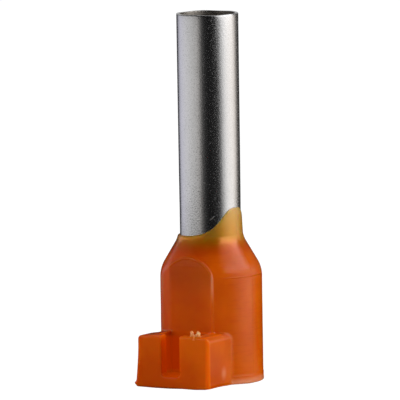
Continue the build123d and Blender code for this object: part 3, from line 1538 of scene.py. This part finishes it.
@dataclass(frozen=True)
class Studio:
    """White floor and world, soft lamps, and the cards that the gloss reflects."""

    floor_level: float = -0.11
    floor_radius: float = 1600.0
    floor_glow: float = 1.24
    floor_share: float = 0.80
    tent_radius: float = 40.0
    tent_height: float = 60.0
    tent_closure: float = 0.97
    mat_start: float = 2.0
    mat_level: float = 0.15
    mat_gain: float = 0.45
    facing: float = math.radians(30.731)
    ambient: float = 0.12
    bands: tuple[Band, ...] = (LOW_BAND, TUBE_BAND, HIGH_BAND, TOP_BAND)
    lamps: tuple[Lamp, ...] = (
        Lamp("key", 75.0, 17.0, 160.0, 0.70),
        Lamp("left", -64.0, 15.0, 160.0, 0.45),
        Lamp("over", -30.0, 52.0, 120.0, 0.06),
    )

    def disc(self, name: str, radius: float, level: float) -> bpy.types.Object:
        """Flat round sheet that faces up: its rim's places are (r cos t, r sin t, level).

        Args:
            name: the sheet's name.
            radius: its radius r.
            level: its height.

        Returns:
            The sheet.
        """
        corners = 96
        turn = np.linspace(0.0, FULL_TURN, corners, endpoint=False)
        rim = np.column_stack([radius * np.cos(turn), radius * np.sin(turn), 0.0 * turn + level])
        made = placed(name, new_mesh(name, rim, [list(range(corners))]))
        return made

    def add_floor(self) -> None:
        """White floor: mostly its own white where it is seen, and the rest lit, for the shadow."""
        floor = self.disc("floor", self.floor_radius, self.floor_level)
        material, graph = new_graph("floor_white")
        lit = graph.node("ShaderNodeBsdfDiffuse", {"Color": (0.8, 0.8, 0.8, 1.0)})
        glow = {"Color": (1.0, 1.0, 1.0, 1.0), "Strength": self.floor_glow}
        white = graph.node("ShaderNodeEmission", glow)
        share = graph.seen() * self.floor_share
        graph.surface(graph.node("ShaderNodeMixShader", {0: share, 1: lit, 2: white}))
        floor.data.materials.append(material)

    def band_colour(self, graph: Graph, place: Place, bands: Sequence[Band]) -> Value:
        """Brightness of the cards: each band's ramp over the whole turn, blended by height.

        Args:
            graph: the cards' node tree.
            place: the point on a card.
            bands: the rings that it may lie in, from the lowest up.

        Returns:
            The colour.
        """
        turned = place.bearing() - self.facing
        share = (turned / FULL_TURN + 1.5).math("FRACT")
        ramps = [graph.node("ShaderNodeValToRGB", {0: share}, stops=band.colours()) for band in bands]
        colour = ramps[0]
        for band, ramp in zip(bands[1:], ramps[1:]):
            colour = graph.mix(place.z.rise(band.low, band.low + band.blend), colour, ramp)
        return colour

    def add_tent(self) -> None:
        """Round wall of cards that only gloss sees: dark round the camera, bright at its right.

        At share s of its steps the wall's radius is r (1 - closure e), where e rises smoothly
        from 0 at s = 0.5 to 1 at s = 1, and its height goes with sin(s pi / 2).
        """
        turn = np.linspace(0.0, FULL_TURN, 180, endpoint=False)[:, None]
        rise = np.linspace(0.0, 1.0, 30)[None, :]
        bend = smooth_step(0.5, 1.0, rise)
        radius = self.tent_radius * (1.0 - self.tent_closure * bend)
        height = self.floor_level + self.tent_height * np.sin(rise * math.pi / 2) + 0.0 * turn
        points = np.stack([radius * np.sin(turn), -radius * np.cos(turn), height], axis=-1)
        rows, columns = points.shape[:2]
        index = np.arange(rows * columns).reshape(rows, columns)
        after = np.roll(index, -1, axis=0)
        quads = np.stack([index[:, :-1], after[:, :-1], after[:, 1:], index[:, 1:]], axis=-1)
        mesh = new_mesh("card_tent", points.reshape(-1, 3), quads.reshape(-1, 4).tolist())
        tent = placed("card_tent", mesh)
        material, graph = new_graph("card_light")
        place = graph.place()
        colour = self.band_colour(graph, place, self.bands)
        graph.surface(graph.node("ShaderNodeEmission", {"Color": colour}))
        mesh.materials.append(material)
        self.only_gloss(tent)

    def add_mat(self) -> None:
        """Dim sheet on the floor that only gloss sees, for the lower part's reflections."""
        mat = self.disc("card_mat", self.tent_radius, self.floor_level + 0.004)
        material, graph = new_graph("mat_light")
        place = graph.place()
        colour = self.band_colour(graph, place, self.bands[:1])
        outward = place.radius().rise(self.mat_start, self.tent_radius)
        level = outward * self.mat_gain + self.mat_level
        graph.surface(graph.node("ShaderNodeEmission", {"Color": colour, "Strength": level}))
        mat.data.materials.append(material)
        self.only_gloss(mat)

    @staticmethod
    def only_gloss(card: bpy.types.Object) -> None:
        """Show a card to glossy rays alone.

        Args:
            card: the object.
        """
        card.visible_camera = False
        card.visible_diffuse = False
        card.visible_transmission = False
        card.visible_volume_scatter = False
        card.visible_shadow = False

    def add_world(self) -> None:
        """White where it is seen or mirrored, and a plain level for what it lights."""
        world = bpy.data.worlds.new("studio_world")
        bpy.context.scene.world = world
        world.use_nodes = True
        graph = Graph(world.node_tree)
        level = graph.seen() * (1.0 - self.ambient) + self.ambient
        values = {"Color": (1.0, 1.0, 1.0, 1.0), "Strength": level}
        graph.surface(graph.node("ShaderNodeBackground", values))

    def build(self) -> None:
        """Floor, cards, lamps and world."""
        self.add_floor()
        self.add_tent()
        self.add_mat()
        for lamp in self.lamps:
            lamp.build(self.facing)
        self.add_world()


@dataclass(frozen=True)
class PhotoCamera:
    """Camera at the photograph's viewing angle. Pixels are counted in its 400 by 400 frame."""

    azimuth: float = math.radians(30.731)
    elevation: float = math.radians(6.426)
    roll: float = math.radians(-0.861)
    distance: float = 450.0
    aim_height: float = 10.0
    aim_pixel: tuple[float, float] = (209.976, 196.297)
    focal_pixels: float = 8244.59
    frame_pixels: float = 400.0
    sensor: float = 36.0

    def build(self) -> bpy.types.Object:
        """Camera whose axis passes beside the aim point, so that this falls on its pixel.

        Returns:
            The camera's object, which becomes the scene's camera.
        """
        back = away_at(self.azimuth, self.elevation)
        level = Vector((math.cos(self.azimuth), math.sin(self.azimuth), 0.0))
        upright = back.cross(level)
        cos, sin = math.cos(self.roll), math.sin(self.roll)
        right = level * cos + upright * sin
        up = upright * cos - level * sin
        per_mm = self.focal_pixels / self.distance
        middle = self.frame_pixels / 2
        aside = (self.aim_pixel[0] - middle) / per_mm
        above = (middle - self.aim_pixel[1]) / per_mm
        look_at = Vector((0.0, 0.0, self.aim_height)) - right * aside - up * above
        data = bpy.data.cameras.new("photo_camera")
        data.sensor_width = self.sensor
        data.lens = self.focal_pixels * self.sensor / self.frame_pixels
        data.clip_start, data.clip_end = 0.01, 10.0
        made = placed("photo_camera", data)
        turn = Matrix((right, up, back)).transposed().to_4x4()
        made.matrix_world = Matrix.Translation((look_at + back * self.distance) * MM) @ turn
        bpy.context.scene.camera = made
        return made


def main() -> None:
    """Load the frame, build the pieces and the studio, and note the sizes."""
    logging.basicConfig(level=logging.INFO, format="%(name)s: %(message)s")
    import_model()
    bpy.context.scene.view_settings.view_transform = "Standard"
    sleeve_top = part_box(Cad.SLEEVE.value)[1].z / MM
    CrimpSleeve(top=sleeve_top).build(TinnedMetal())
    collar = InsulatingCollar()
    collar.build(OrangePlastic(collar))
    TornGate().build(TornPlastic())
    Studio().build()
    PhotoCamera().build()


if __name__ == "__main__":
    main()
